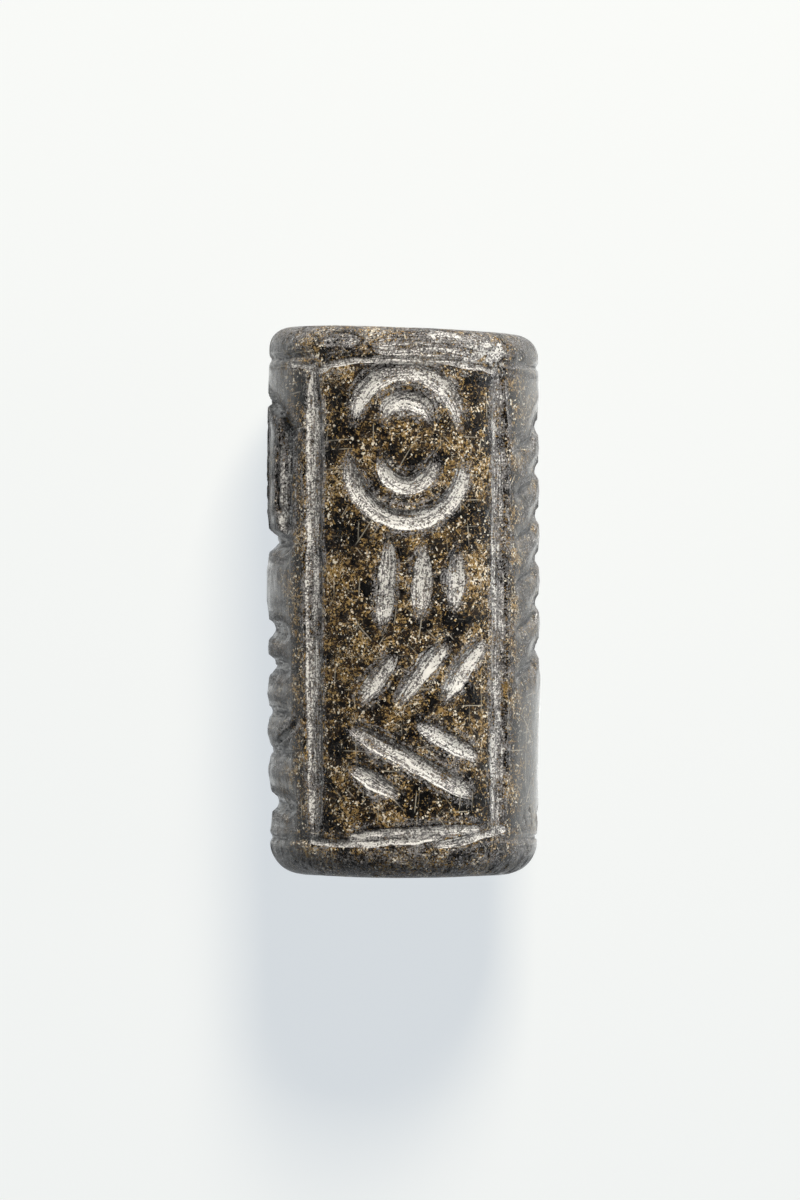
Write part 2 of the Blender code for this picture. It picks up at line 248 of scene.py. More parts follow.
def cut(path, width, deepest, dust, squareness=2.0, run_out=0.7, shoulder=0.0):
    """Cuts along a path of (arc, up) points.

    dust is how pale the cut is left, and 0 sweeps it clean. run_out is how many widths its ends taper
    over, and shoulder how far the stone beside it is worn down.
    """
    global cut_count
    cut_count += 1
    path = np.array(path)
    reach = width * CUT_REACH
    columns = np.where((arcs > path[:, 0].min() - reach) & (arcs < path[:, 0].max() + reach))[0]
    rows = np.where((unrolled > path[:, 1].min() - reach) & (unrolled < path[:, 1].max() + reach))[0]
    block = np.ix_(rows, columns)
    run, side, total = nearest_on_path(path, net_arc[block], net_up[block])
    seed = np.full(run.shape, cut_count * 3.7 * MM)
    swell = smooth_noise(np.stack([run, seed, seed], axis=-1), 0.9 * MM, 21)
    taper = np.clip(np.minimum(run, total - run) / (run_out * width), 0.0, 1.0) ** 0.6
    half_width = width / 2 * (1 + 0.12 * swell) * (0.30 + 0.70 * taper)
    across = side / half_width
    reached = np.abs(across)
    floor = 1 - np.clip(reached, 0.0, 1.0) ** squareness
    lines = smooth_noise(np.stack([side, run * 0.07, seed], axis=-1), FINE_FURROW, 22)
    below = deepest * taper * floor * (1 + 0.10 * swell + 0.20 * lines)
    below = np.maximum(below, shoulder * taper * (1 - np.clip(np.abs(side) / (1.1 * width), 0.0, 1.0) ** 2))
    depth[block] = np.maximum(depth[block], below)
    pale = dust * np.clip((POWDER_REACH - reached) * 4.0, 0.0, 1.0) * np.clip(taper * 1.5, 0.0, 1.0)
    powder[block] = np.maximum(powder[block], pale)
    if dust == 0.0:
        powder[block] *= np.clip(1.6 * reached - 0.3, 0.0, 1.0)
    nearest = reached < nearness[block]
    nearness[block] = np.where(nearest, reached, nearness[block])
    marks = np.stack([across, run / MM, seed / MM], axis=-1)
    furrow[block] = np.where(nearest[..., None], marks, furrow[block])


def pit(arc, up, width, deepest, dust):
    """A round hollow, such as the drill leaves or a chip that fell out."""
    reach = width
    columns = np.where(np.abs(arcs - arc) < reach)[0]
    rows = np.where(np.abs(unrolled - up) < reach)[0]
    block = np.ix_(rows, columns)
    distance = np.hypot(net_arc[block] - arc, net_up[block] - up)
    share = np.clip(distance / (width / 2), 0.0, 1.0)
    depth[block] = np.maximum(depth[block], deepest * (1 - share**2))
    powder[block] = np.maximum(powder[block], dust * np.clip((1 - share) * 2.0, 0.0, 1.0))


print("The graver is ready")

# %% [markdown]
# ## The framed column
#
# Two upright grooves frame the column. The real column holds writing. Here rows of plain strokes fill it,
# which are the same size and just as pale but spell nothing: bows inside bows, uprights, and strokes that
# rise and fall. Each row is a loop, as a cutter would space it by eye.

# %% Column of marks
PANEL_WIDTH, PANEL_OFFSET = 10.2 * MM, 0.19 * MM
FRAME_LINE_WIDTH, FRAME_LINE_DEPTH = 1.10 * MM, 0.28 * MM
MARK_WIDTH, MARK_DEPTH = 1.00 * MM, 0.24 * MM
MARK_DUST, LEFT_FRAME_DUST, RIGHT_FRAME_DUST = 0.98, 0.80, 0.71
MARK_RUN_OUT, FRAME_RUN_OUT = 1.3, 2.2
FLAT_FLOORED = 4.0
UPRIGHT_LENGTHS = (4.3 * MM, 3.6 * MM, 3.1 * MM)
RISING_LENGTHS = (3.1 * MM, 3.9 * MM, 3.8 * MM)
FALLING_LENGTHS = (3.0 * MM, 7.3 * MM, 3.7 * MM)
half_panel = PANEL_WIDTH / 2


def in_panel(across, up):
    """across runs from -1 to 1 between the frame lines, up from 0 to 1."""
    return (PANEL_OFFSET + across * half_panel, FIELD_BOTTOM + up * FIELD_HEIGHT)


def arch(centre, half_width, rise, count=24):
    """Points of a half ellipse over its centre, or under it where the rise is negative."""
    angles = np.linspace(0, math.pi, count)
    return [(centre[0] - half_width * math.cos(a), centre[1] + rise * math.sin(a)) for a in angles]


def bow_pair(up, half_width, rise):
    """Two bows, one inside the other."""
    for size in (1.0, 0.45):
        path = arch(in_panel(0.0, up), half_panel * half_width * size, FIELD_HEIGHT * rise * size)
        cut(path, MARK_WIDTH, MARK_DEPTH, MARK_DUST, run_out=MARK_RUN_OUT)


def leaning_row(first, step, lengths, lean):
    """Parallel strokes side by side. lean is their angle above +X in degrees."""
    turn = math.radians(lean)
    for number, length in enumerate(lengths):
        arc, up = in_panel(first[0] + number * step[0], first[1] + number * step[1])
        reach = (math.cos(turn) * length / 2, math.sin(turn) * length / 2)
        path = [(arc - reach[0], up - reach[1]), (arc + reach[0], up + reach[1])]
        cut(path, MARK_WIDTH, MARK_DEPTH, MARK_DUST, run_out=MARK_RUN_OUT)


for side, dust in ((-1, LEFT_FRAME_DUST), (1, RIGHT_FRAME_DUST)):
    line = [(PANEL_OFFSET + side * half_panel, end) for end in (FIELD_TOP, FIELD_BOTTOM)]
    cut(line, FRAME_LINE_WIDTH, FRAME_LINE_DEPTH, dust, FLAT_FLOORED, FRAME_RUN_OUT)
bow_pair(0.872, 0.53, 0.110)
bow_pair(0.800, 0.58, -0.135)
leaning_row((-0.21, 0.532), (0.345, 0.004), UPRIGHT_LENGTHS, 86)
leaning_row((-0.30, 0.332), (0.435, 0.010), RISING_LENGTHS, 52)
leaning_row((-0.32, 0.116), (0.370, 0.042), FALLING_LENGTHS, -28)
print(cut_count, "cuts in the framed column")

# %% [markdown]
# ## The picture on the drum
#
# Only the edges of the picture show from above, as notches in the two long outlines. They are the belt,
# tiers and hem of a long robe on the left, and the fronds of a palm on the right. The rest of it runs round
# the back: a stand under a crescent and a star, and a second figure behind the palm. These cuts are deeper
# than the marks in the column and have been handled more, so they hold less powder.

# %% Figures
FOLD_WIDTH, FOLD_DEPTH = 1.50 * MM, 0.50 * MM
TIER_WIDTH, TIER_DEPTH = 1.30 * MM, 0.50 * MM
FINE_WIDTH, FINE_DEPTH = 0.76 * MM, 0.28 * MM
BELT_DEPTH = 0.62 * MM
HEAD_WIDTH, HEAD_DEPTH = 2.2 * MM, 0.50 * MM
FRAME_CLEARANCE, FIELD_MARGIN = 0.575 * MM, 0.8 * MM
PICTURE_DUST, FOLD_DUST = 0.30, 0.68
SHOULDER = 0.13 * MM
TIP_LENGTH, TIP_DROP = 1.9 * MM, 0.25 * MM


def robed_figure(centre, width, folds, head):
    """A figure in a long tiered robe, turned away from growing arc."""

    def at(across, up):
        """across is in shares of the figure's width, up in shares of the field."""
        return (centre - across * width, FIELD_BOTTOM + up * FIELD_HEIGHT)

    def level(up, reach, wide, deep):
        cut([at(-reach, up - 0.006), at(reach, up + 0.006)], wide, deep, PICTURE_DUST, shoulder=SHOULDER)

    pit(*at(head, 0.930), HEAD_WIDTH, HEAD_DEPTH, PICTURE_DUST)
    cut([at(0.44, 0.820), at(0.58, 0.740), at(0.72, 0.850)], FINE_WIDTH, TIER_DEPTH, PICTURE_DUST)
    cut([at(-0.40, 0.885), at(0.04, 0.925), at(0.36, 0.900)], FINE_WIDTH, TIER_DEPTH, PICTURE_DUST)
    for across in folds:
        cut([at(across, 0.885), at(across, 0.625)], FOLD_WIDTH, FOLD_DEPTH, FOLD_DUST, FLAT_FLOORED, 0.4)
    level(0.620, 0.52, TIER_WIDTH, BELT_DEPTH)
    for up in (0.432, 0.355):
        level(up, 0.50, TIER_WIDTH, TIER_DEPTH)
    for up in (0.259, 0.175):
        level(up, 0.50, FINE_WIDTH, FINE_DEPTH)
    level(0.064, 0.54, TIER_WIDTH, FOLD_DEPTH)


def palm(centre, width):
    """A palm with paired fronds that arch out from its trunk."""

    def at(across, up):
        return (centre + across * width / 2, FIELD_BOTTOM + up * FIELD_HEIGHT)

    def frond(side, up):
        reach = np.linspace(0.08, 1.0, 10)
        return [at(side * out, up + 0.022 * math.sin(2.2 * out) - 0.060 * out**3) for out in reach]

    cut([at(0.0, 0.970), at(0.0, 0.02)], TIER_WIDTH, TIER_DEPTH, PICTURE_DUST)
    for number, side in itertools.product(range(6), (-1, 1)):
        leaf = frond(side, 0.870 - 0.0975 * number)
        cut(leaf, TIER_WIDTH, TIER_DEPTH, PICTURE_DUST, shoulder=SHOULDER)
        if side < 0:
            tip = [leaf[-2], (leaf[-1][0] - TIP_LENGTH, leaf[-1][1] - TIP_DROP)]
            cut(tip, FINE_WIDTH, FINE_DEPTH, PICTURE_DUST, shoulder=0.8 * SHOULDER)
    for side in (-1, 1):
        cut([at(side * 0.10, 0.060), at(side * 0.60, 0.020)], FINE_WIDTH, FINE_DEPTH, PICTURE_DUST)


def stand_and_sky(centre, width):
    """A stand with crossed legs, under a crescent and a star of crossing strokes."""

    def at(across, up):
        return (centre + across * width / 2, FIELD_BOTTOM + up * FIELD_HEIGHT)

    bars = ((0.85, 0.455), (0.60, 0.395), (0.80, 0.020))
    for reach, up in bars:
        cut([at(-reach, up), at(reach, up)], FINE_WIDTH, TIER_DEPTH, PICTURE_DUST)
    legs = ((-0.65, 0.045), (0.45, 0.360)), ((0.60, 0.050), (-0.52, 0.352))
    for foot, top in legs:
        cut([at(*foot), at(*top)], FINE_WIDTH, TIER_DEPTH, PICTURE_DUST)
    crescent = arch(at(0.0, 0.660), width * 0.38, FIELD_HEIGHT * -0.070)
    cut(crescent, TIER_WIDTH, TIER_DEPTH, PICTURE_DUST)
    star_arc, star_up = at(0.0, 0.860)
    arm = width * 0.34
    for number in range(3):
        turn = math.radians(60 * number + 10)
        reach = (arm * math.cos(turn), arm * math.sin(turn))
        path = [(star_arc - reach[0], star_up - reach[1]), (star_arc + reach[0], star_up + reach[1])]
        cut(path, FINE_WIDTH, FINE_DEPTH, PICTURE_DUST)


frame_reach = half_panel + FRAME_CLEARANCE + FIELD_MARGIN
flat_reach = math.pi * RADIUS - FLAT_SPOT_WIDTH / 2 - FIELD_MARGIN
right_from = frame_reach + PANEL_OFFSET
left_from = -frame_reach + PANEL_OFFSET
right_width = flat_reach - right_from
left_width = flat_reach + left_from
palm(right_from + 0.42 * right_width, right_width * 0.56)
robed_figure(right_from + 0.87 * right_width, right_width * 0.24, (-0.30, 0.30), 0.10)
robed_figure(left_from - 0.29 * left_width, left_width * 0.53, (-0.41, 0.03, 0.42), 0.50)
stand_and_sky(left_from - 0.82 * left_width, left_width * 0.32)
print(cut_count, "cuts so far, the deepest", round(depth.max() / MM, 2), "mm")

# %% [markdown]
# ## Border lines
#
# The border lines weren't turned on a lathe. They were scratched freehand, in several strokes that don't
# quite meet. The upper one is thin and sags at the left. The lower one was gone over again and again, and
# shows as a pale braid of scratches. Round the back both are single lines.

# %% Scratched borders
BORDER_DEPTH = 0.12 * MM
SCRATCH_WIDTH = 0.42 * MM
BORDER_DUST = 0.85
SIDE_OF_COLUMN = 1.05


def around(points):
    """Points given in millimetres as (arc, along), with a gentle curve put through them."""
    arc, up = np.array(points).T * MM
    even = np.linspace(0, len(arc) - 1, 8 * len(arc))
    bend = np.interp(even, range(len(arc)), up)
    bend = np.convolve(np.pad(bend, 4, mode="edge"), np.ones(9) / 9, mode="valid")
    return list(zip(np.interp(even, range(len(arc)), arc), bend))


half_turn = math.pi * RADIUS
for border, dust in ((UPPER_BORDER, 0.3), (LOWER_BORDER, 0.35)):
    for side in (-1, 1):
        start = PANEL_OFFSET + side * half_panel * SIDE_OF_COLUMN
        path = [(start, border), (side * half_turn, border)]
        cut(path, BORDER_WIDTH, BORDER_DEPTH, dust)
upper_strokes = (
    ((-6.9, 11.75), (-5.6, 11.60), (-4.5, 11.35), (-3.9, 11.50)),
    ((-4.3, 11.60), (-2.6, 11.92), (-0.9, 11.98), (1.2, 11.95)),
    ((0.6, 11.98), (2.6, 11.95), (3.9, 11.75), (5.2, 11.60)),
)
lower_strokes = (
    ((-5.4, -11.75), (-4.0, -11.95), (-2.4, -11.90), (0.4, -11.75), (1.9, -11.50)),
    ((-2.8, -11.60), (-1.3, -11.35), (0.9, -11.25), (2.6, -11.15), (4.2, -11.20)),
    ((0.2, -11.70), (1.6, -11.30), (3.0, -11.25)),
    ((1.6, -11.95), (2.8, -11.85), (4.2, -11.55), (6.0, -11.20)),
)
for points in upper_strokes:
    cut(around(points), SCRATCH_WIDTH * 0.8, BORDER_DEPTH * 0.8, BORDER_DUST)
for points in lower_strokes:
    cut(around(points), SCRATCH_WIDTH, BORDER_DEPTH, BORDER_DUST + 0.1)
print(len(upper_strokes) + len(lower_strokes), "freehand strokes over the borders")

# %% [markdown]
# ## Wear
#
# The lips of the cuts and the rims have lost crumbs of stone, and one corner of the upper rim was knocked
# off long ago. A few nicks slant over the left side. The drum itself was ground by hand, so it is a little
# lumpy. The rims are the most rubbed.

# %% Chips and grazes
rng = np.random.default_rng(7)
CHIP_TURN, CHIP_WIDTH, CHIP_DEPTH = math.radians(42), 2.3 * MM, 0.20 * MM
CRUMBS_ROUND_CHIP, LIP_CHIPS, RIM_CHIPS = 26, 420, 170
pit(CHIP_TURN * RADIUS, upper_side, CHIP_WIDTH, CHIP_DEPTH, 0.98)
for _ in range(CRUMBS_ROUND_CHIP):
    arc = CHIP_TURN * RADIUS + rng.normal(0, 0.75) * MM
    pit(arc, upper_side + rng.normal(-0.1, 0.50) * MM, rng.uniform(0.2, 0.7) * MM, 0.09 * MM, 0.9)
grazes = (
    (((-1.6, 12.60), (0.6, 12.72), (2.6, 12.66), (4.4, 12.45)), 1.10, 0.05, 0.66),
    (((-4.6, 12.75), (-3.6, 12.95), (-2.2, 12.90)), 0.80, 0.03, 0.60),
    (((1.2, 13.35), (3.4, 13.30), (5.2, 13.10)), 0.70, 0.03, 0.72),
    (((-5.6, -12.30), (-5.3, -12.90)), 0.22, 0.05, 0.6),
    (((-6.0, -12.25), (-5.7, -12.95)), 0.22, 0.05, 0.6),
    (((-6.4, -12.20), (-6.1, -12.80)), 0.20, 0.04, 0.5),
    (((-6.1, -5.80), (-6.9, -6.50), (-8.3, -7.10)), 0.42, 0.26, 0.0),
    (((-6.1, 8.15), (-7.0, 8.55), (-8.1, 9.30)), 0.70, 0.50, 0.0),
    (((-8.05, 7.90), (-8.15, 6.20), (-8.00, 4.00)), 0.26, 0.40, 0.0),
    (((7.4, -10.60), (7.9, -11.20)), 0.20, 0.05, 0.9),
    (((8.1, -10.10), (8.8, -11.30)), 0.18, 0.05, 0.8),
    (((4.9, 8.60), (5.1, 9.70)), 0.20, 0.05, 1.0),
)
for points, width, deepest, dust in grazes:
    cut(around(points), width * MM, deepest * MM, dust)

near_cut = sum(np.roll(depth, move, axis) for move, axis in ((3, 0), (-3, 0), (3, 1), (-3, 1))) / 4
lip_rows, lip_columns = np.where((depth < 0.02 * MM) & (near_cut > 0.05 * MM) & (kinds[:, None] == DRUM))
for pick in rng.choice(len(lip_rows), LIP_CHIPS, replace=False):
    size = rng.uniform(0.16, 0.42) * MM
    place = (arcs[lip_columns[pick]], unrolled[lip_rows[pick]])
    pit(*place, size, size * rng.uniform(0.14, 0.26), 0.45)
for _ in range(RIM_CHIPS):
    on_rim = rng.choice([lower_side - 0.9 * MM, upper_side + 0.7 * MM])
    size = rng.uniform(0.2, 0.65) * MM
    pit(rng.uniform(-half_turn, half_turn), on_rim + rng.normal(0, 0.5) * MM, size, size * 0.15, 0.35)
print(LIP_CHIPS + RIM_CHIPS, "chips along the lips and rims")

# %% Unevenness
lumps = 0.055 * MM * (smooth_noise(smooth_place, 3.6 * MM, 31) + 1) / 2
ripples = 0.030 * MM * (smooth_noise(smooth_place, 1.1 * MM, 32) + 1) / 2
grain = 0.012 * MM * (smooth_noise(smooth_place, 0.33 * MM, 33) + 1) / 2
depth += lumps + ripples + grain
print("Chips and unevenness cut the stone back by up to", round(depth.max() / MM, 2), "mm")

# %% [markdown]
# ## The stone as a mesh
#
# Each point of the net now moves into the stone by its depth, and the upper end is leaned out of square.
# The underside is cut off level, so that the seal lies still. What the finish needs to know is stored with
# the mesh: the powder, the furrows, the worn lips, and the unrolled place of each point in millimetres.

# %% Build the mesh
inward = np.stack([-np.sin(net_turn) * lean_out[:, None],
                   np.repeat(-lean_along[:, None], net_shape[1], axis=1),
                   -np.cos(net_turn) * lean_out[:, None]], axis=-1)
points = smooth_place + inward * depth[..., None]
lean_share = np.clip(points[..., 1] / UPPER_BORDER, 0.0, 1.0)
lean = math.tan(math.radians(UPPER_END_TILT))
points[..., 1] -= (points[..., 0] + UPPER_FACE_RADIUS) * lean * lean_share
points[..., 1] = np.clip(points[..., 1], low[1], high[1])
points[..., 2] = np.maximum(points[..., 2] + AXIS_HEIGHT, 0.0)

ring_count, point_count = net_shape
ring, spot = np.meshgrid(np.arange(ring_count), np.arange(point_count), indexing="ij")
next_ring, next_spot = (ring + 1) % ring_count, (spot + 1) % point_count
corner_ids = np.stack([ring * point_count + spot, ring * point_count + next_spot,
                       next_ring * point_count + next_spot, next_ring * point_count + spot], axis=-1)
faces = corner_ids.reshape(-1, 4)
mesh = bpy.data.meshes.new("seal_stone")
mesh.from_pydata(points.reshape(-1, 3).tolist(), [], faces.tolist())
mesh.update()
seal = bpy.data.objects.new("seal_stone", mesh)
bpy.context.scene.collection.objects.link(seal)
mesh.shade_smooth()


def store(name, kind, field, values):
    """Keeps a value for each point with the mesh, for the finish to read."""
    mesh.attributes.new(name, kind, "POINT").data.foreach_set(field, values.astype(np.float32).ravel())


print(len(mesh.polygons), "faces,", 2 * len(mesh.polygons), "triangles")

# %% Store what the finish needs
around_it = sum(np.roll(depth, move, axis) for move, axis in ((4, 0), (-4, 0), (4, 1), (-4, 1))) / 4
worn_edge = np.clip((around_it - depth) / (0.06 * MM), 0.0, 1.0)
rim_wear = np.abs(lean_along) * np.abs(lean_out) * 2
worn_edge = np.maximum(worn_edge, rim_wear[:, None] * (kinds[:, None] == DRUM))
store("powder", "FLOAT", "value", powder)
store("worn_edge", "FLOAT", "value", worn_edge)
store("furrow", "FLOAT_VECTOR", "vector", furrow)
flat_arc = np.append(arcs, arcs[0] + math.tau * RADIUS)
flat_up = np.append(unrolled, unrolled[-1] + steps.mean())
corner_arc = np.stack([flat_arc[spot], flat_arc[spot + 1], flat_arc[spot + 1], flat_arc[spot]], axis=-1)
corner_up = np.stack([flat_up[ring], flat_up[ring], flat_up[ring + 1], flat_up[ring + 1]], axis=-1)
unrolled_map = mesh.uv_layers.new(name="unrolled")
unrolled_map.data.foreach_set("uv", (np.stack([corner_arc, corner_up], axis=-1) / MM).ravel())
print("Stored with the mesh: powder, worn edges, furrows and the unrolled place")

# %% [markdown]
# ## Small helpers for shader nodes
#
# A finish is a small program made of nodes. These helpers let it be read from left to right in code: each
# adds one node, links what is a socket and sets what is a plain value.

# %% Node helpers
def feed(tree, socket, value):
    if isinstance(value, bpy.types.NodeSocket):
        tree.links.new(value, socket)
    else:
        socket.default_value = value


def add(tree, kind, **inputs):
    """Adds a shader node, with its inputs given by name."""
    node = tree.nodes.new("ShaderNode" + kind)
    for name, value in inputs.items():
        feed(tree, node.inputs[name.replace("_", " ")], value)
    return node


def maths(tree, operation, *values):
    node = tree.nodes.new("ShaderNodeMath")
    node.operation = operation
    for socket, value in zip(node.inputs, values):
        feed(tree, socket, value)
    return node.outputs[0]


def vector_maths(tree, operation, *values):
    node = tree.nodes.new("ShaderNodeVectorMath")
    node.operation = operation
    for socket, value in zip(node.inputs, values):
        feed(tree, socket, value)
    return node.outputs[0]


def ramp(tree, value, start, end, to_low=0.0, to_high=1.0):
    """A smooth step from one value to another as the input goes from start to end."""
    node = tree.nodes.new("ShaderNodeMapRange")
    node.interpolation_type = "SMOOTHSTEP"
    for socket, given in zip(node.inputs, (value, start, end, to_low, to_high)):
        feed(tree, socket, given)
    return node.outputs[0]


def blend(tree, share, first, second):
    """Mixes two colours."""
    node = tree.nodes.new("ShaderNodeMix")
    node.data_type = "RGBA"
    for index, value in ((0, share), (6, first), (7, second)):
        feed(tree, node.inputs[index], value)
    return node.outputs[2]


def noise(tree, place, size, detail=2.0, roughness=0.5):
    """Noise whose lumps are about as large as size, in the unit of the place."""
    return add(tree, "TexNoise", Vector=place, Scale=1 / size, Detail=detail, Roughness=roughness).outputs[0]


def grains(tree, place, size):
    """Crystals about as large as size. Gives three random values, even over each crystal."""
    cells = add(tree, "TexVoronoi", Vector=place, Scale=1 / size)
    return add(tree, "SeparateColor", Color=cells.outputs["Color"]).outputs


def mixed(tree, *parts):
    """Adds up values times their weights, given as (value, weight) pairs."""
    total = 0.0
    for value, weight in parts:
        total = maths(tree, "MULTIPLY_ADD", value, weight, total)
    return total


def new_group(name, inputs, outputs):
    """An empty node group with named inputs (name, type, value) and outputs (name, type)."""
    group = bpy.data.node_groups.new(name, "ShaderNodeTree")
    for title, kind, value in inputs:
        socket = group.interface.new_socket(name=title, in_out="INPUT", socket_type="NodeSocket" + kind)
        if value is not None:
            socket.default_value = value
    for title, kind in outputs:
        group.interface.new_socket(name=title, in_out="OUTPUT", socket_type="NodeSocket" + kind)
    entrance = group.nodes.new("NodeGroupInput").outputs
    return group, entrance, group.nodes.new("NodeGroupOutput").inputs


def use_group(tree, group, **inputs):
    node = tree.nodes.new("ShaderNodeGroup")
    node.node_tree = group
    for name, value in inputs.items():
        feed(tree, node.inputs[name.replace("_", " ")], value)
    return node.outputs


print("Node helpers are ready")

# %% [markdown]
# ## Mottled stone
#
# The stone is a soft dark one, nearly black, and crowded with ochre and pale crystals a tenth of a
# millimetre across or less. In places they thin out and leave smooth black patches a millimetre or two
# wide, which take a higher polish. The crystals are the cells of a Voronoi pattern, each of one random
# shade. Noise folded at its middle value strings some of them into threads, and noise at a larger size
# decides where they crowd.

# %% Group: mottled stone
BLACK_STONE = (0.0028, 0.0025, 0.0026, 1.0)
BROWN_STONE = (0.022, 0.012, 0.0055, 1.0)
DARK_OCHRE = (0.090, 0.046, 0.014, 1.0)
LIGHT_OCHRE = (0.46, 0.31, 0.115, 1.0)
PALE_FLECK = (0.88, 0.84, 0.74, 1.0)

mottled, given, made = new_group(
    "mottled stone",
    [("Place", "Vector", None), ("Fleck Size", "Float", 0.15), ("Fleck Share", "Float", 0.5)],
    [("Color", "Color"), ("Polish", "Float"), ("Relief", "Float")],
)
scaled = vector_maths(mottled, "DIVIDE", given["Place"], given["Fleck Size"])
crowding = noise(mottled, given["Place"], 1.5, 4.0, 0.62)
crowding = mixed(mottled, (crowding, 1.0), (given["Fleck Share"], 1.0), (1.0, -1.0))
crowded = ramp(mottled, crowding, -0.08, 0.06)
fine = grains(mottled, scaled, 0.58)
coarse = grains(mottled, scaled, 1.5)
grain = noise(mottled, scaled, 0.78, 1.5, 0.6)
folded = noise(mottled, scaled, 1.5, 2.0, 0.65)
folded = maths(mottled, "ABSOLUTE", mixed(mottled, (folded, 1.0), (1.0, -0.5)))
threads = ramp(mottled, folded, 0.045, 0.012)
veins = noise(mottled, scaled, 5.0, 3.5, 0.62)
veins = maths(mottled, "ABSOLUTE", mixed(mottled, (veins, 1.0), (1.0, -0.5)))
veins = maths(mottled, "MULTIPLY", ramp(mottled, veins, 0.011, 0.003), ramp(mottled, crowding, -0.02, 0.10))
brown = noise(mottled, scaled, 2.2, 3.0)
brown = maths(mottled, "MULTIPLY", crowded, ramp(mottled, brown, 0.40, 0.62))
warm = mixed(mottled, (fine[0], 0.6), (coarse[0], 0.4), (crowding, 1.7), (threads, 0.30))
warm = ramp(mottled, warm, 0.78, 0.82)
light = mixed(mottled, (fine[1], 0.75), (coarse[1], 0.25), (crowding, 0.55), (threads, 0.06))
light = ramp(mottled, light, 0.85, 0.88)
base = blend(mottled, brown, BLACK_STONE, BROWN_STONE)
base = blend(mottled, warm, base, blend(mottled, fine[2], DARK_OCHRE, LIGHT_OCHRE))
light = maths(mottled, "MAXIMUM", light, maths(mottled, "MULTIPLY", veins, 0.85))
base = blend(mottled, light, base, blend(mottled, ramp(mottled, fine[2], 0.0, 0.7), LIGHT_OCHRE, PALE_FLECK))
feed(mottled, made["Color"], base)
feed(mottled, made["Polish"], maths(mottled, "SUBTRACT", 1.0, crowded))
feed(mottled, made["Relief"], mixed(mottled, (threads, 0.6), (grain, 1.5), (fine[0], 0.15)))
print("Group made:", mottled.name)

# %% [markdown]
# ## Furrows, scratches and powder
#
# Three more effects are used by more than one finish. Furrows are the long fine lines that a
# tool leaves in the direction it moved, so they are noise stretched along that direction. Hairline
# scratches are nearly straight lines of even width, one to a lane and broken off at random, with the lanes
# turned at an angle. Powder is the pale
# crushed stone that stays in a cut. It is a film of grey crystals with the brightest ones on top, and it
# lies thickest in the furrows.

# %% Group: tool furrows
furrows, given, made = new_group(
    "tool furrows",
    [("Across and Along", "Vector", None), ("Spacing", "Float", 0.12), ("Length", "Float", 2.4)],
    [("Streaks", "Float"), ("Relief", "Float")],
)
stretch = add(furrows, "CombineXYZ", X=given["Spacing"], Y=given["Length"], Z=1.0).outputs[0]
stretched = vector_maths(furrows, "DIVIDE", given["Across and Along"], stretch)
lines = noise(furrows, stretched, 1.0, 2.5, 0.65)
feed(furrows, made["Streaks"], ramp(furrows, lines, 0.36, 0.62))
feed(furrows, made["Relief"], lines)
print("Group made:", furrows.name)

# %% Group: hairline scratches
scratches, given, made = new_group(
    "hairline scratches",
    [("Place", "Vector", None), ("Turn", "Float", 0.0),
     ("Spacing", "Float", 0.5), ("Length", "Float", 2.2), ("Width", "Float", 0.05)],
    [("Scratches", "Float")],
)
turned = add(scratches, "VectorRotate", Vector=given["Place"], Angle=given["Turn"]).outputs[0]
parts = add(scratches, "SeparateXYZ", Vector=turned).outputs
bend = maths(scratches, "MULTIPLY", noise(scratches, turned, 6.0, 0.0), 0.9)
across = maths(scratches, "DIVIDE", maths(scratches, "ADD", parts[0], bend), given["Spacing"])
lane = maths(scratches, "FLOOR", across)
chance = grains(scratches, add(scratches, "CombineXYZ", X=lane, Y=0.5, Z=0.5).outputs[0], 1.0)
middle = mixed(scratches, (chance[0], 0.7), (1.0, 0.15))
apart = maths(scratches, "SUBTRACT", maths(scratches, "FRACT", across), middle)
apart = maths(scratches, "MULTIPLY", maths(scratches, "ABSOLUTE", apart), given["Spacing"])
thin = ramp(scratches, maths(scratches, "DIVIDE", apart, given["Width"]), 0.75, 0.25)
along = maths(scratches, "DIVIDE", parts[1], given["Length"])
stretch = add(scratches, "CombineXYZ", X=maths(scratches, "MULTIPLY", lane, 7.3), Y=along).outputs[0]
sparse = ramp(scratches, noise(scratches, stretch, 1.0, 2.0), 0.60, 0.68)
thin = maths(scratches, "MULTIPLY", thin, mixed(scratches, (chance[1], 0.6), (1.0, 0.4)))
feed(scratches, made["Scratches"], maths(scratches, "MULTIPLY", thin, sparse))
print("Group made:", scratches.name)

# %% Group: powder in hollows
powdered, given, made = new_group(
    "powder in hollows",
    [("Color", "Color", None), ("Powder Color", "Color", None), ("Film Color", "Color", None),
     ("Amount", "Float", 0.5), ("Streaks", "Float", 0.5), ("Place", "Vector", None)],
    [("Color", "Color"), ("Powder", "Float")],
)
patchy = noise(powdered, given["Place"], 0.8, 3.0, 0.6)
crystals = grains(powdered, given["Place"], 0.068)
amount = given["Amount"]
held = mixed(
    powdered, (crystals[0], 0.85), (patchy, 1.5), (given["Streaks"], 0.6), (amount, 1.0), (1.0, -1.475),
)
cover = maths(powdered, "MULTIPLY", ramp(powdered, held, 0.26, 0.42), ramp(powdered, amount, 0.0, 0.12))
bright = maths(powdered, "MULTIPLY", ramp(powdered, held, 0.92, 1.12), ramp(powdered, amount, 0.02, 0.3))
deep_film = blend(powdered, 0.80, given["Film Color"], (0.0, 0.0, 0.0, 1.0))
shade = maths(powdered, "POWER", crystals[1], 1.5)
film = blend(powdered, shade, deep_film, given["Film Color"])
filmed = blend(powdered, maths(powdered, "MULTIPLY", cover, 0.92), given["Color"], film)
feed(powdered, made["Color"], blend(powdered, bright, filmed, given["Powder Color"]))
feed(powdered, made["Powder"], cover)
print("Group made:", powdered.name)

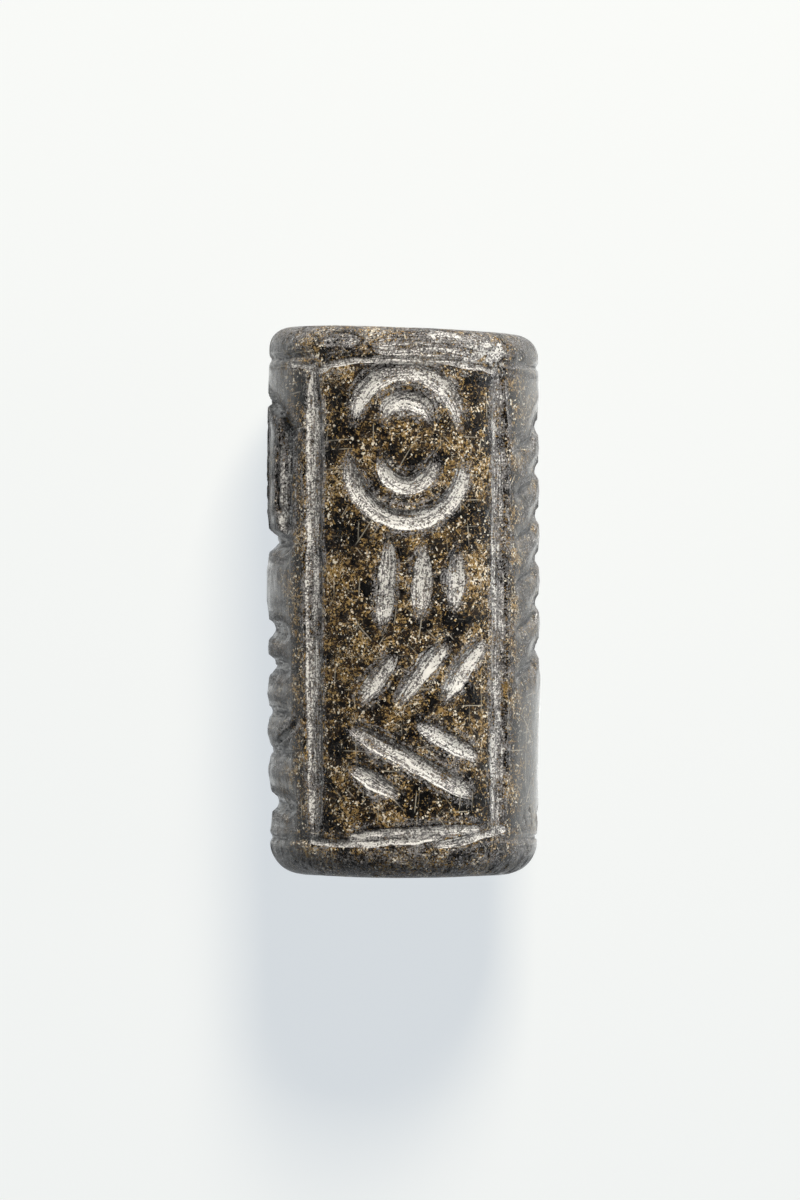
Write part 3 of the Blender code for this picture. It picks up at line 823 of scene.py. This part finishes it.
# %% [markdown]
# ## Colours and helpers of the finishes
#
# The drum, its ends and its bore are one stone with three finishes. They share their colours, the
# constants of the shader, the way powder is laid over a colour and the way relief is tied in. Constants
# are set on the shader itself, and only what changes over the surface comes from nodes.

# %% Colours and helpers of the finishes
POWDER_COLOUR = (0.82, 0.82, 0.81, 1.0)
FILM_COLOUR = (0.405, 0.40, 0.415, 1.0)
SCRATCH_COLOUR = (0.58, 0.54, 0.45, 1.0)
# Painted reflection on the drum's sides seen at a low angle; on the ends this tone is only a duller stone
# colour.
DULL_TONE_AND_PAINTED_SHEEN_COLOUR = (0.020, 0.020, 0.023, 1.0)
# Painted sheen: the paler grey of the right side seen at a low angle, as painted light from the right.
PAINTED_RIGHT_SHEEN_COLOUR = (0.120, 0.120, 0.117, 1.0)
FLECK_SIZE = 0.15
COLUMN_FLECKS, BACK_FLECKS, END_FLECKS, BORE_FLECKS = 0.52, 0.475, 0.45, 0.42
DRUM_RELIEF, END_RELIEF, BORE_RELIEF = 0.026 * MM, 0.018 * MM, 0.014 * MM
END_POLISH, BORE_POLISH = 0.25, 0.4
SCRATCH_TURNS = (0.04, 1.56, -0.75, 0.55)


def new_material(name):
    material = bpy.data.materials.new(name)
    material.use_nodes = True
    tree = material.node_tree
    shader = tree.nodes["Principled BSDF"]
    shader.inputs["Metallic"].default_value = 0.0
    shader.inputs["IOR"].default_value = 1.55
    shader.inputs["Specular IOR Level"].default_value = 0.25
    shader.inputs["Coat Roughness"].default_value = 0.16
    shader.inputs["Coat IOR"].default_value = 1.8
    shader.inputs["Sheen Weight"].default_value = 0.36
    shader.inputs["Sheen Roughness"].default_value = 0.20
    shader.inputs["Sheen Tint"].default_value = (0.86, 0.92, 1.0, 1.0)
    object_place = add(tree, "TexCoord").outputs["Object"]
    place = vector_maths(tree, "MULTIPLY", object_place, (1000.0, 1000.0, 1000.0))
    return material, tree, shader, place


def dust_over(tree, color, amount, streaks, place):
    """Lays the pale powder of the cuts over a colour."""
    return use_group(
        tree, powdered, Color=color, Powder_Color=POWDER_COLOUR, Film_Color=FILM_COLOUR,
        Amount=amount, Streaks=streaks, Place=place,
    )


def stored(tree, name, output):
    node = tree.nodes.new("ShaderNodeAttribute")
    node.attribute_name = name
    return node.outputs[output]


def all_scratches(tree, flat_place):
    """Scratches in several directions together."""
    total = 0.0
    for number, turn in enumerate(SCRATCH_TURNS):
        shifted = vector_maths(tree, "ADD", flat_place, (13.0 * number, 7.0 * number, 0.0))
        found = use_group(tree, scratches, Place=shifted, Turn=turn, Spacing=0.38 + 0.07 * number)[0]
        total = maths(tree, "MAXIMUM", total, found)
    return total


def finish(tree, shader, color, roughness, height, distance, dusty, polish):
    """Ties a finish to the shader. distance is the height of its relief in metres.

    polish is how much of a coat it has where it isn't dusty.
    """
    clean = maths(tree, "SUBTRACT", 1.0, dusty)
    feed(tree, shader.inputs["Coat Weight"], maths(tree, "MULTIPLY", clean, polish))
    bumps = add(tree, "Bump", Height=height, Distance=distance)
    feed(tree, shader.inputs["Base Color"], color)
    feed(tree, shader.inputs["Roughness"], roughness)
    feed(tree, shader.inputs["Normal"], bumps.outputs[0])


print(len(SCRATCH_TURNS), "directions of scratches")

# %% [markdown]
# ## The drum's finish
#
# The drum reads what was stored with the mesh. Its flecks thin out round the back. Long handling left
# hairline scratches in several directions, and polished the sides in fine lines. Seen at a low angle the
# flecks give way to an even grey, which is a painted reflection of the polish, and which is paler on the
# right as painted light from that side.

# %% Drum: flecks, handling, painted grazing sheen and scratches
drum_stone, tree, shader, place = new_material("carved drum")
unrolled_node = tree.nodes.new("ShaderNodeUVMap")
unrolled_node.uv_map = "unrolled"
unrolled_place = unrolled_node.outputs[0]
unrolled_arc = add(tree, "SeparateXYZ", Vector=unrolled_place).outputs[0]
from_middle = maths(tree, "ABSOLUTE", unrolled_arc)
fleck_share = ramp(tree, from_middle, 5.4, 8.0, COLUMN_FLECKS, BACK_FLECKS)
color, polish, relief = use_group(tree, mottled, Place=place, Fleck_Size=FLECK_SIZE, Fleck_Share=fleck_share)
polish_lines = use_group(tree, furrows, Across_and_Along=unrolled_place, Spacing=0.11, Length=2.6)[0]
# The right limb, where the colour carries painted light from the right.
right_limb_painted_light = ramp(tree, unrolled_arc, 5.0, 6.5)
# Painted reflection: seen at a low angle the flecks give way to an even tone, most on the sides and along
# the polish lines.
painted_grazing_sheen = ramp(tree, add(tree, "LayerWeight", Blend=0.5).outputs["Facing"], 0.36, 0.62)
for painted_sheen_share in (
    ramp(tree, from_middle, 4.6, 6.4, 0.25, 1.0),
    ramp(tree, polish_lines, 0.0, 1.0, 0.56, 0.80),
    ramp(tree, right_limb_painted_light, 0.0, 1.0, 1.0, 0.78),
):
    painted_grazing_sheen = maths(tree, "MULTIPLY", painted_grazing_sheen, painted_sheen_share)
# Painted sheen: the even tone seen at a low angle is dark on the left and paler on the right, as painted
# light from the right.
color = blend(tree, painted_grazing_sheen, color, blend(tree, right_limb_painted_light, DULL_TONE_AND_PAINTED_SHEEN_COLOUR, PAINTED_RIGHT_SHEEN_COLOUR))
hairlines = all_scratches(tree, unrolled_place)
color = blend(tree, maths(tree, "MULTIPLY", hairlines, 0.80), color, SCRATCH_COLOUR)
print("Material begun:", drum_stone.name)

# %% [markdown]
# Powder follows each cut. It ends in a crisp edge on both sides. The powder is the stone's own, but less
# of it is left on the left-hand side of a cut as it runs, and on the upright frame lines that is painted
# shade on the walls that face away from the light on the right. The worn lips and rims are rubbed a little
# paler with the same powder.

# %% Drum: powder
furrow_place = stored(tree, "furrow", "Vector")
streaks, furrow_relief = use_group(tree, furrows, Across_and_Along=furrow_place, Spacing=0.24)
signed_across = add(tree, "SeparateXYZ", Vector=furrow_place).outputs[0]
across = maths(tree, "ABSOLUTE", signed_across)
within = ramp(tree, across, 1.04, 0.88)
kept_powder = stored(tree, "powder", "Fac")
amount = maths(tree, "MULTIPLY", kept_powder, within)
# Painted shade: less powder on one side of each cut, which on the frame lines darkens the walls that face
# away from the light.
painted_shade_side = ramp(tree, signed_across, 0.1, -0.9, 0.0, 0.28)
amount = maths(tree, "MAXIMUM", maths(tree, "SUBTRACT", amount, painted_shade_side), 0.0)
worn_edges = stored(tree, "worn_edge", "Fac")
worn = maths(tree, "MULTIPLY", worn_edges, noise(tree, place, 0.5, 3.0, 0.65))
amount = maths(tree, "MAXIMUM", amount, maths(tree, "MULTIPLY", worn, 0.64))
color, dusty = dust_over(tree, color, amount, streaks, place)
print("Powder laid over:", drum_stone.name)

# %% [markdown]
# The fine relief is the furrows in the cuts, the crystals, the scratches and a low lip beside each cut.
# A thin clear coat stands for the polish. It is left off where powder lies and where the stone is worn.

# %% Drum: fine relief and polish
rough = ramp(tree, polish, 0.0, 1.0, 0.45, 0.27)
rough = maths(tree, "ADD", rough, maths(tree, "MULTIPLY", dusty, 0.40))
height = maths(tree, "MULTIPLY", maths(tree, "MULTIPLY", furrow_relief, amount), 3.0)
height = maths(tree, "ADD", height, maths(tree, "MULTIPLY", relief, 0.8))
height = maths(tree, "SUBTRACT", height, maths(tree, "MULTIPLY", hairlines, 0.8))
in_a_cut = ramp(tree, kept_powder, 0.0, 0.15)
lip = maths(tree, "MULTIPLY", ramp(tree, across, 1.02, 0.80), in_a_cut)
height = maths(tree, "SUBTRACT", height, maths(tree, "MULTIPLY", lip, 1.8))
handled = ramp(tree, from_middle, 5.9, 7.0, 0.15, 1.0)
least_polish = ramp(tree, right_limb_painted_light, 0.0, 1.0, 0.28, 0.85)
handled = maths(tree, "MULTIPLY", handled, ramp(tree, polish_lines, 0.0, 1.0, least_polish, 1.0))
unworn = maths(tree, "MULTIPLY", maths(tree, "SUBTRACT", 1.0, worn_edges), handled)
rubbed = maths(tree, "MULTIPLY", ramp(tree, kept_powder, 0.35, 0.60), within)
dusty = maths(tree, "MAXIMUM", dusty, rubbed)
finish(tree, shader, color, rough, height, DRUM_RELIEF, dusty, unworn)
print("Material made:", drum_stone.name)

# %% [markdown]
# ## Ends and bore
#
# The ends were sawn and ground flat, so they are duller and scratched in all directions. The bore was
# drilled from both sides. A drill leaves rings, which are furrows that run round instead of along, and the
# string has polished them a little.

# %% Material: ground ends
end_stone, tree, shader, place = new_material("ground ends")
color, _, relief = use_group(tree, mottled, Place=place, Fleck_Size=FLECK_SIZE, Fleck_Share=END_FLECKS)
parts = add(tree, "SeparateXYZ", Vector=place)
flat_place = add(tree, "CombineXYZ", X=parts.outputs[0], Y=parts.outputs[2]).outputs[0]
hairlines = all_scratches(tree, flat_place)
streaks, ground_relief = use_group(tree, furrows, Across_and_Along=flat_place, Spacing=0.6, Length=0.9)
color = blend(tree, 0.45, color, DULL_TONE_AND_PAINTED_SHEEN_COLOUR)
color = blend(tree, maths(tree, "MULTIPLY", hairlines, 0.7), color, SCRATCH_COLOUR)
held_dust = ramp(tree, noise(tree, place, 2.6, 4.0, 0.65), 0.46, 0.66, 0.0, 0.13)
color, dusty = dust_over(tree, color, held_dust, streaks, place)
height = maths(tree, "ADD", maths(tree, "MULTIPLY", ground_relief, 3.0), relief)
height = maths(tree, "SUBTRACT", height, hairlines)
rough = maths(tree, "ADD", maths(tree, "MULTIPLY", dusty, 0.3), 0.50)
finish(tree, shader, color, rough, height, END_RELIEF, dusty, END_POLISH)
print("Material made:", end_stone.name)

# %% Material: drilled bore
bore_stone, tree, shader, place = new_material("drilled bore")
color, _, relief = use_group(tree, mottled, Place=place, Fleck_Size=FLECK_SIZE, Fleck_Share=BORE_FLECKS)
parts = add(tree, "SeparateXYZ", Vector=place)
ring_place = add(tree, "CombineXYZ", X=parts.outputs[1], Y=parts.outputs[0], Z=parts.outputs[2]).outputs[0]
streaks, ring_relief = use_group(tree, furrows, Across_and_Along=ring_place, Spacing=0.22, Length=6.0)
color, dusty = dust_over(tree, color, 0.25, streaks, place)
height = maths(tree, "ADD", maths(tree, "MULTIPLY", ring_relief, 4.0), relief)
rough = maths(tree, "ADD", maths(tree, "MULTIPLY", dusty, 0.35), 0.38)
finish(tree, shader, color, rough, height, BORE_RELIEF, dusty, BORE_POLISH)
print("Material made:", bore_stone.name)

# %% Put the finishes on the stone
for material in (drum_stone, end_stone, bore_stone):
    mesh.materials.append(material)
mesh.polygons.foreach_set("material_index", np.repeat(kinds.astype(int), point_count))
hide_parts("cylinder_seal")
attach(seal, "root")
print("Materials on the stone:", [material.name for material in mesh.materials])

# %% [markdown]
# ## Floor, light and camera
#
# The seal lies on a pale sheet that glows a little from below, like a light table, so that its shadow stays
# soft and bluish. The main light is a soft box beyond the upper end and a little to the right, and a small
# low one on the right picks out the walls of the cuts. The room is dim overhead, which keeps the polished
# black stone black, but the camera sees a pale backdrop. It looks straight down through a long lens.

# %% Floor
FLOOR_REACH, FLOOR_GAP = 1.5, 0.01 * MM
SHEET_COLOUR, GLOW_COLOUR = (0.283, 0.270, 0.233, 1.0), (0.895, 0.952, 1.0, 1.0)
GLOW_STRENGTH = 0.725
floor_mesh = bpy.data.meshes.new("floor")
corners = ((-1, -1), (1, -1), (1, 1), (-1, 1))
floor_corners = [(x * FLOOR_REACH, y * FLOOR_REACH, -FLOOR_GAP) for x, y in corners]
floor_mesh.from_pydata(floor_corners, [], [(0, 1, 2, 3)])
floor = bpy.data.objects.new("floor", floor_mesh)
bpy.context.scene.collection.objects.link(floor)
pale = bpy.data.materials.new("pale floor")
pale.use_nodes = True
sheet = pale.node_tree.nodes["Principled BSDF"]
sheet.inputs["Base Color"].default_value = SHEET_COLOUR
sheet.inputs["Roughness"].default_value = 0.9
sheet.inputs["Specular IOR Level"].default_value = 0.0
sheet.inputs["Emission Color"].default_value = GLOW_COLOUR
sheet.inputs["Emission Strength"].default_value = GLOW_STRENGTH
floor_mesh.materials.append(pale)
print("The floor is", 2 * FLOOR_REACH, "m wide")

# %% Lights
def soft_box(name, place, size, power, color=(1.0, 1.0, 1.0)):
    """A square area light that faces the seal."""
    light = bpy.data.lights.new(name, "AREA")
    light.size = size
    light.energy = power
    light.color = color
    made = bpy.data.objects.new(name, light)
    made.location = place
    bpy.context.scene.collection.objects.link(made)
    aim = made.location.copy()
    aim.z -= AXIS_HEIGHT
    made.rotation_euler = aim.to_track_quat("Z", "Y").to_euler()
    made.visible_camera = False
    return made


soft_box("key light", (0.07, 0.33, 0.285), 0.13, 2.7, (1.0, 0.94, 0.84))
soft_box("side light", (0.45, 0.02, 0.030), 0.11, 0.56, (0.93, 0.97, 1.0))
BACKDROP_STRENGTH = 0.72
world = bpy.data.worlds.new("pale room")
world.use_nodes = True
room = world.node_tree
sky_parts = add(room, "SeparateXYZ", Vector=add(room, "TexCoord").outputs["Generated"])
room_light = ramp(room, sky_parts.outputs[2], 0.0, 0.12, 0.20, 0.035)
room.nodes["Background"].inputs["Color"].default_value = (0.93, 0.97, 1.0, 1.0)
seen = add(room, "LightPath").outputs["Is Camera Ray"]
room_light = mixed(room, (room_light, 1.0), (seen, BACKDROP_STRENGTH))
feed(room, room.nodes["Background"].inputs["Strength"], room_light)
bpy.context.scene.world = world
bpy.context.scene.view_settings.view_transform = "Standard"
print("Two soft boxes and a pale room")

# %% Camera
CAMERA_RISE = 0.300
FRAME_HEIGHT_AT_AXIS = 60 * MM
SENSOR = 36.0
camera_data = bpy.data.cameras.new("camera")
camera_data.sensor_width = SENSOR
camera_data.lens = SENSOR * CAMERA_RISE / FRAME_HEIGHT_AT_AXIS
camera_data.clip_start = 0.01
camera = bpy.data.objects.new("camera", camera_data)
camera.location = (-0.175 * MM, 0.030 * MM, AXIS_HEIGHT + CAMERA_RISE)
bpy.context.scene.collection.objects.link(camera)
bpy.context.scene.camera = camera
print("The lens is", camera_data.lens, "mm")
